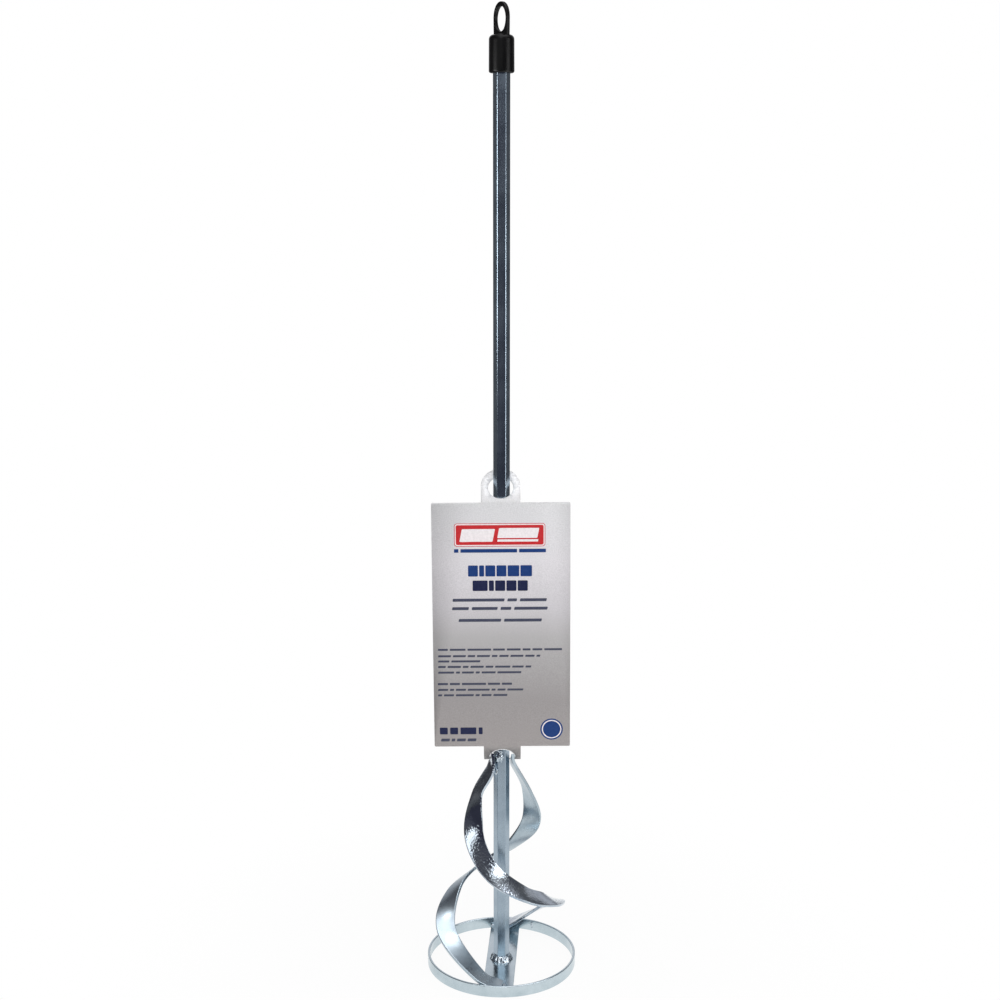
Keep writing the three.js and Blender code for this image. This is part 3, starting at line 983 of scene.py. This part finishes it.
def loop_edge(x, y):
    """Where a ray from the eye's middle meets the loop's rim, at a straight side, its root or its top."""
    reaches = []
    if abs(x) > NEARLY_LEVEL:
        side = LOOP_HALF_WIDTH / abs(x)
        if EYE_MIDDLE + y * side <= LOOP_STRAIGHT:
            reaches.append(side)
    if y < -NEARLY_LEVEL:
        reaches.append((-LOOP_ROOT - EYE_MIDDLE) / y)
    # The round top is half an ellipse, so the ray's reach to it solves a square equation.
    rise = LOOP_HEIGHT - LOOP_STRAIGHT
    offset = EYE_MIDDLE - LOOP_STRAIGHT
    a = (x / LOOP_HALF_WIDTH) ** 2 + (y / rise) ** 2
    b = 2 * y * offset / rise ** 2
    c = (offset / rise) ** 2 - 1
    root = (-b + math.sqrt(max(0.0, b * b - 4 * a * c))) / (2 * a)
    if EYE_MIDDLE + y * root >= LOOP_STRAIGHT:
        reaches.append(root)
    return Vector((x * min(reaches), EYE_MIDDLE + y * min(reaches)))


# Print on the card, as plain panels and bars with no words

PRINT_DEPTH = 0.12
LAYER_LIFT = 0.02
HOLE_MARGIN = 0.55
HOLE_MARGIN_STEPS = 72
SLANT_SHARE = 0.2
SMALL_CORNER_STEPS = 3
LARGE_CORNER_STEPS = 8
INKS = {
    "red": (186, 34, 40),
    "pale": (226, 220, 222),
    "royal": (14, 52, 112),
    "navy": (22, 30, 66),
    "grey": (64, 68, 86),
    "white": (244, 244, 246),
}

# Blocks, each as its left and lower edges on the flat card, width, height, corner radius and slant share
PANEL_LINE = ((-30.4, 137.0, 59.2, 15.3, 1.9, 0),)
PANEL_GAP = ((-30.0, 137.4, 58.4, 14.5, 1.6, 0),)
PANEL = ((-29.3, 138.1, 57.0, 13.1, 1.1, 0),)
PANEL_BARS = (
    (-27.0, 140.2, 21.5, 8.4, 0.5, SLANT_SHARE),
    (-2.4, 142.6, 26.0, 6.6, 0.5, SLANT_SHARE),
    (-2.4, 140.2, 26.4, 1.5, 0.3, SLANT_SHARE),
)
DISC = ((25.4, 4.4, 15.0, 15.0, 7.49, 0),)
DISC_RING = ((26.4, 5.4, 13.0, 13.0, 6.49, 0),)
DISC_FACE = ((27.1, 6.1, 11.6, 11.6, 5.79, 0),)

# Lines of bars, each as its left, lower and right edges, height, corner radius, slant share, gap between
# bars and the shares of the bars' lengths
SUBLINE_SHARES = ((-30.6, 133.0, 29.2, 2.4, 0.3, 0, 1.3, (3, 38, 18)),)
TITLE_SHARES = ((-21.6, 117.1, 20.1, 7.4, 0.6, 0, 0.8, (6, 3, 6, 6, 7, 7)),)
TITLE_LOW_SHARES = ((-18.7, 107.4, 17.3, 7.0, 0.6, 0, 0.8, (9, 3, 6, 6, 6)),)
LINE_SHARES = (
    (-32.0, 100.3, 29.4, 2.0, 0.4, SLANT_SHARE, 2.0, (33, 6, 17)),
    (-32.4, 94.6, 30.0, 2.0, 0.4, SLANT_SHARE, 2.0, (11, 17, 7, 22)),
    (-28.2, 86.6, 26.2, 2.0, 0.4, SLANT_SHARE, 2.0, (27, 24)),
)
SMALL_LINE_SHARES = (
    (-41.9, 66.9, 39.7, 1.4, 0.3, 0, 1.3, (5, 8, 12, 6, 7, 4, 5, 9)),
    (-42.0, 62.5, 25.2, 1.4, 0.3, SLANT_SHARE, 1.3, (7, 7, 4, 7, 3, 5, 7, 5, 2)),
    (-42.0, 58.9, -14.3, 1.4, 0.3, SLANT_SHARE, 1.3, (5, 13)),
    (-42.1, 55.1, 19.3, 1.4, 0.3, SLANT_SHARE, 1.3, (4, 7, 3, 7, 4, 8, 6, 3)),
    (-42.1, 51.2, 12.7, 1.4, 0.3, SLANT_SHARE, 1.3, (8, 2, 6, 2, 7, 12)),
    (-42.3, 43.2, 6.7, 1.5, 0.3, 0, 1.3, (5, 5, 12, 6, 5)),
    (-42.3, 39.2, 14.0, 1.4, 0.3, SLANT_SHARE, 1.3, (5, 2, 5, 11, 2, 4, 8)),
    (-42.4, 35.4, 3.4, 1.4, 0.3, SLANT_SHARE, 1.3, (2, 5, 9, 2, 5, 7)),
)
SIZE_SHARES = ((-41.5, 8.6, -13.0, 4.8, 0.5, 0, 1.6, (4, 4, 8, 2)),)
SIZE_LOW_SHARES = ((-40.9, 3.6, -17.5, 2.0, 0.3, SLANT_SHARE, 1.3, (5, 2, 5, 5)),)


def bars(lines):
    """The blocks of lines of bars, each line filled from left to right."""
    blocks = []
    for left, low, right, height, corner, slant, gap, shares in lines:
        scale = (right - left - gap * (len(shares) - 1)) / sum(shares)
        for share in shares:
            blocks.append((left, low, share * scale, height, corner, slant))
            left += share * scale + gap
    return blocks


def block_outline(left, low, width, height, corner, slant):
    """A rounded oblong on the flat card, anticlockwise, leaning to the right by its slant."""
    steps = SMALL_CORNER_STEPS if corner < 1 else LARGE_CORNER_STEPS
    upright = [
        *arc(left + width - corner, low + corner, corner, -1, 0, steps),
        *arc(left + width - corner, low + height - corner, corner, 0, 1, steps),
        *arc(left + corner, low + height - corner, corner, 1, 2, steps),
        *arc(left + corner, low + corner, corner, 2, 3, steps),
    ]
    return [(u + (v - low) * slant, v) for u, v in upright]


def printed(name, colour, layer, blocks):
    """Thin printed blocks on the card's face, in a layer counted from the sheet outwards."""
    vertices = []
    faces = []
    lift = CARD_THICKNESS / 2 + LAYER_LIFT * layer
    for block in blocks:
        outline = block_outline(*block)
        base = len(vertices)
        count = len(outline)
        for depth in (lift, lift - PRINT_DEPTH):
            vertices += [card_place(u, v) - Vector((0, depth, 0)) for u, v in outline]
        faces.append(tuple(base + i for i in range(count)))
        faces.append(tuple(base + count + i for i in reversed(range(count))))
        for i in range(count):
            j = (i + 1) % count
            faces.append((base + i, base + count + i, base + count + j, base + j))
    made = piece(name, vertices, faces, [colour], "card", (), smooth=False)
    face_outwards(made)


def tab_hole_margin(colour):
    """The pale unprinted margin round the hole in the lower tab, a thin ring on the tab's front face."""
    centre = -TAB_HOLE_BACK - TAB_HOLE
    top = CARD_THICKNESS / 2 + LAYER_LIFT
    outer = TAB_HOLE + HOLE_MARGIN
    low = top - PRINT_DEPTH
    rings = []
    for step in range(HOLE_MARGIN_STEPS):
        angle = TURN * step / HOLE_MARGIN_STEPS
        ring = []
        for radius, lift in ((TAB_HOLE, top), (outer, top), (outer, low), (TAB_HOLE, low)):
            u = radius * math.cos(angle)
            v = centre + radius * math.sin(angle)
            ring.append(card_place(u, v) + card_front(u, v) * lift)
        rings.append(ring)
    vertices, faces = closed_skin(rings)
    made = piece("print_hole_margin", vertices, faces, [colour], "card", (), smooth=False)
    face_outwards(made)


def print_on_card():
    """The hole's margin and the printed blocks, layer by layer."""
    inks = {name: ink("print_" + name, rgb(*tones)) for name, tones in INKS.items()}
    tab_hole_margin(inks["white"])
    for name, colour, layer, blocks in (
        ("print_panel_line", "red", 1, PANEL_LINE),
        ("print_panel_gap", "pale", 2, PANEL_GAP),
        ("print_panel", "red", 3, PANEL),
        ("print_panel_bars", "pale", 4, PANEL_BARS),
        ("print_subline", "royal", 1, bars(SUBLINE_SHARES)),
        ("print_title", "royal", 1, bars(TITLE_SHARES)),
        ("print_title_low", "navy", 1, bars(TITLE_LOW_SHARES)),
        ("print_lines", "grey", 1, bars(LINE_SHARES)),
        ("print_small_lines", "grey", 1, bars(SMALL_LINE_SHARES)),
        ("print_size", "navy", 1, bars(SIZE_SHARES)),
        ("print_size_low", "grey", 1, bars(SIZE_LOW_SHARES)),
        ("print_disc", "royal", 1, DISC),
        ("print_disc_ring", "pale", 2, DISC_RING),
        ("print_disc_face", "royal", 3, DISC_FACE),
    ):
        printed(name, inks[colour], layer, blocks)


# Stage, lights and camera. These sizes are in metres.

TABLE_CENTRE = (0.33, 0.06)
TABLE_RADIUS = 0.62
TABLE_STEPS = 128
SHADOW_REACH = (0.1, 0.28)
SHADOW_SHARES = (0.93, 1.0)
ROOM_RADIUS = 14.0
ROOM_LEVEL = 0.2
ROOM_GLOW = 2.4
ROOM_GREEN = 0.98
ROOM_BLUE = 1.02
WHITE = (1, 1, 1, 1)
FILL_LIGHT = 0.5
AIM_LEVEL = 0.25
LENS = 56.43
SENSOR_WIDTH = 36.0
LENS_SHIFT = 0.010
CAMERA_PLACE = (-0.00099, -1.0, 0.5271)
CAMERA_TILT = 78.24 * DEGREE

# Light and dark patches of the room. Each has its axis and its stops, with how nearly a direction points
# along the axis, the tone there and its blue share.
OVERHEAD_PATCH = (
    (0.17, -0.17, 0.96),
    (
        (0.3, 0.02, 1.4),
        (0.42, 0.034, 1.3),
        (0.62, 0.045, 1.1),
        (0.68, 0.075, ROOM_BLUE),
        (0.74, 0.09, ROOM_BLUE),
        (0.8, 0.2, ROOM_BLUE),
        (0.88, 0.5, ROOM_BLUE),
        (0.97, 1.0, ROOM_BLUE),
    ),
)
BEHIND_PATCH = (
    (-0.1, 0.93, 0.35),
    (
        (0.1, 0.0, ROOM_BLUE),
        (0.35, 0.05, ROOM_BLUE),
        (0.55, 0.065, ROOM_BLUE),
        (0.64, 0.02, ROOM_BLUE),
        (0.76, 0.035, ROOM_BLUE),
        (0.81, 0.13, ROOM_BLUE),
        (0.87, 0.22, ROOM_BLUE),
        (1.0, 0.36, ROOM_BLUE),
    ),
)
BESIDE_PATCH = (
    (0.572, 0.759, 0.309),
    (
        (0.93, 0.0, ROOM_BLUE),
        (0.965, 0.1, ROOM_BLUE),
        (0.99, 0.26, ROOM_BLUE),
    ),
)


def stage_mesh(name, vertices, faces, material):
    mesh = bpy.data.meshes.new(name)
    mesh.from_pydata(vertices, [], faces)
    mesh.materials.append(material)
    made = bpy.data.objects.new(name, mesh)
    bpy.context.scene.collection.objects.link(made)
    return made


def white_share(nodes):
    """1 for camera, mirrored and transmitted rays, which all show the white background, else 0."""
    path = nodes.add("ShaderNodeLightPath")
    mirrored = nodes.maths("MAXIMUM", path.outputs["Is Camera Ray"], path.outputs["Is Glossy Ray"])
    return nodes.maths("MAXIMUM", mirrored, path.outputs["Is Transmission Ray"])


def table():
    """A round white table, with the object's faint shadow round its foot."""
    white = Nodes("table_white")
    white.set(Base_Color=grey(250), Roughness=0.6)
    away = white.vectors("LENGTH", [white.place], "Value")
    glow_share = white.span(away, SHADOW_REACH, SHADOW_SHARES)
    glow = white.add("ShaderNodeEmission")
    white.give(glow.inputs["Color"], WHITE)
    both = white.add("ShaderNodeMixShader")
    white.give(both.inputs[0], white.maths("MULTIPLY", white_share(white), glow_share))
    white.give(both.inputs[1], white.shader.outputs[0])
    white.give(both.inputs[2], glow.outputs[0])
    white.give(white.out.inputs["Surface"], both.outputs[0])
    rim = []
    for step in range(TABLE_STEPS):
        angle = TURN * step / TABLE_STEPS
        x = TABLE_CENTRE[0] + TABLE_RADIUS * math.cos(angle)
        y = TABLE_CENTRE[1] + TABLE_RADIUS * math.sin(angle)
        rim.append((x, y, 0))
    stage_mesh("table", rim, [tuple(range(len(rim)))], white.material)


def room_tone(level, blue):
    return (level, level * ROOM_GREEN, min(1.0, level * blue), 1.0)


def room():
    """The dim room round the table, which only the steel mirrors: light overhead, behind and beside."""
    walls = Nodes("room_walls")
    direction = walls.vectors("NORMALIZE", [walls.place], "Vector")
    tone = None
    for axis, stops in (OVERHEAD_PATCH, BEHIND_PATCH, BESIDE_PATCH):
        along = walls.vectors("DOT_PRODUCT", [direction, axis], "Value")
        patch = walls.ramp(along, [(place, room_tone(level, blue)) for place, level, blue in stops])
        tone = patch if tone is None else walls.mix(1.0, tone, patch, "LIGHTEN")
    glow = walls.add("ShaderNodeEmission")
    walls.give(glow.inputs["Strength"], ROOM_GLOW)
    walls.give(glow.inputs["Color"], tone)
    walls.give(walls.out.inputs["Surface"], glow.outputs[0])
    bm = bmesh.new()
    bmesh.ops.create_uvsphere(bm, u_segments=64, v_segments=32, radius=ROOM_RADIUS)
    vertices = [tuple(v.co) for v in bm.verts]
    faces = [tuple(v.index for v in face.verts) for face in bm.faces]
    bm.free()
    made = stage_mesh("room", vertices, faces, walls.material)
    made.location = (0, 0, ROOM_LEVEL)
    made.visible_camera = False
    made.visible_diffuse = False
    made.visible_transmission = False
    made.visible_shadow = False


def world():
    """White in sight and in mirrors, with an even fill light."""
    made = bpy.data.worlds.new("studio")
    bpy.context.scene.world = made
    made.use_nodes = True
    tree = made.node_tree
    path = tree.nodes.new("ShaderNodeLightPath")
    seen = path.outputs["Is Camera Ray"]
    for other in ("Is Glossy Ray", "Is Transmission Ray"):
        either = tree.nodes.new("ShaderNodeMath")
        either.operation = "MAXIMUM"
        tree.links.new(seen, either.inputs[0])
        tree.links.new(path.outputs[other], either.inputs[1])
        seen = either.outputs[0]
    both = tree.nodes.new("ShaderNodeMixShader")
    tree.links.new(seen, both.inputs[0])
    for socket, strength in ((both.inputs[1], FILL_LIGHT), (both.inputs[2], 1.0)):
        background = tree.nodes.new("ShaderNodeBackground")
        background.inputs["Color"].default_value = WHITE
        background.inputs["Strength"].default_value = strength
        tree.links.new(background.outputs[0], socket)
    tree.links.new(both.outputs[0], tree.nodes["World Output"].inputs["Surface"])


def lamp(name, azimuth, distance, height, size, power, mirrored=True, lights=True, aim=AIM_LEVEL):
    """An area lamp aimed at the shaft's line, which no camera sees. Azimuth 0 is in front, 90 on the right.

    A mirrored lamp shows in the steel, and one that lights falls on plain surfaces too.
    """
    light = bpy.data.lights.new(name, "AREA")
    light.shape = "RECTANGLE"
    light.size, light.size_y = size
    light.energy = power
    made = bpy.data.objects.new(name, light)
    angle = azimuth * DEGREE
    made.location = (distance * math.sin(angle), -distance * math.cos(angle), height)
    line_of_aim = Vector((0, 0, aim)) - made.location
    made.rotation_euler = line_of_aim.to_track_quat("-Z", "Y").to_euler()
    made.visible_camera = False
    made.visible_glossy = mirrored
    made.visible_diffuse = lights
    bpy.context.scene.collection.objects.link(made)


def lamps():
    """Two windows, two panels that give the shaft's front ridges their bright lines, and two soft fills."""
    lamp("front_window", -8, 8.0, 5.25, (4.6, 5.7), 150)
    lamp("right_window", 62, 1.3, 0.55, (0.6, 0.5), 2.8)
    lamp("left_panel", -60, 0.2, 0.5, (0.09, 0.2), 0.43, lights=False, aim=0.5)
    lamp("right_panel", 60, 0.2, 0.4, (0.105, 0.22), 0.26, lights=False, aim=0.4)
    lamp("front_fill", -14, 1.7, 0.8, (0.9, 0.9), 6.4, mirrored=False)
    lamp("top_fill", 20, 1.0, 1.9, (1.2, 1.2), 9, mirrored=False)


def camera():
    lens = bpy.data.cameras.new("photo_camera")
    lens.lens = LENS
    lens.sensor_width = SENSOR_WIDTH
    lens.shift_y = LENS_SHIFT
    made = bpy.data.objects.new("photo_camera", lens)
    made.location = CAMERA_PLACE
    made.rotation_euler = (CAMERA_TILT, 0, 0)
    bpy.context.scene.collection.objects.link(made)
    bpy.context.scene.camera = made


ribbon("left_strip", "left_ribbon", LEFT_RIBBON_SHARES, math.pi, LEFT_STEEL, LEFT_EDGE_ROLL)
ribbon("right_strip", "right_ribbon", RIGHT_RIBBON_SHARES, 0, RIGHT_STEEL)
hoop()
cross_bar()
shaft()
foot_weld()
for values in BEADS:
    bead(*values)
cap()
card()
print_on_card()

table()
room()
world()
lamps()
camera()
bpy.context.scene.view_settings.view_transform = "Standard"
